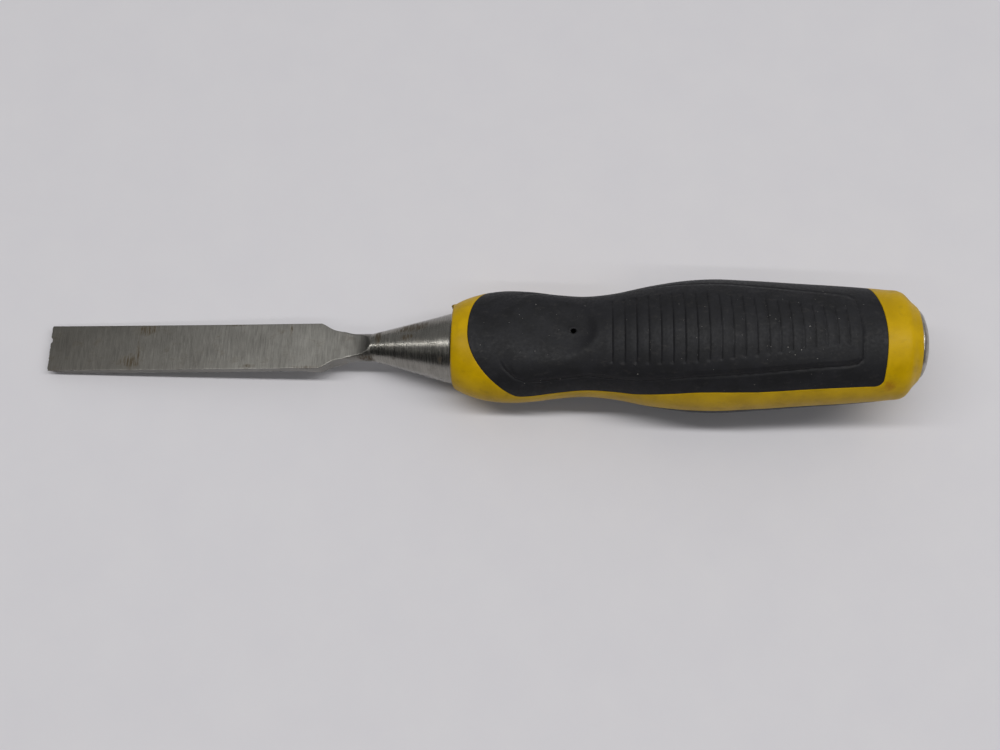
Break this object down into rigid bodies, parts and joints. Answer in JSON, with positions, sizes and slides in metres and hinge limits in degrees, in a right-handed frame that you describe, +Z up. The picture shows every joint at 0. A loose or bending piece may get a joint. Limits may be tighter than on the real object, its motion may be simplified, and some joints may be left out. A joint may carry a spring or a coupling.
{
  "type": "bench chisel",
  "caption": "Bench chisel with a flat steel blade, turned bolster cone, contoured moulded handle with soft ribbed grips, and a domed steel strike cap.",
  "frame": {"origin": "middle of the bounding box's bottom face, on the surface that the chisel lies on", "axes": "+X from the cutting edge to the strike cap, +Z up from the surface, blade's flat back uppermost and leaning about 5 degrees down to the tip"},
  "size_m": [0.2324, 0.035, 0.0342],
  "materials": {
    "blade_steel": "ground across the blade and turned on the bolster, with light rust stains",
    "yellow_plastic": "semi-matte hard plastic with scuffs and rubbed-in dirt",
    "black_rubber": "matt soft overmould with fine grain and dust",
    "cap_steel": "smooth dulled steel with hammer marks"
  },
  "bodies": {
    "root": {"blade_forging": "blade_steel", "handle_core": "yellow_plastic", "upper_grip": "black_rubber", "lower_grip": "black_rubber", "strike_cap": "cap_steel"}
  },
  "joints": []
}
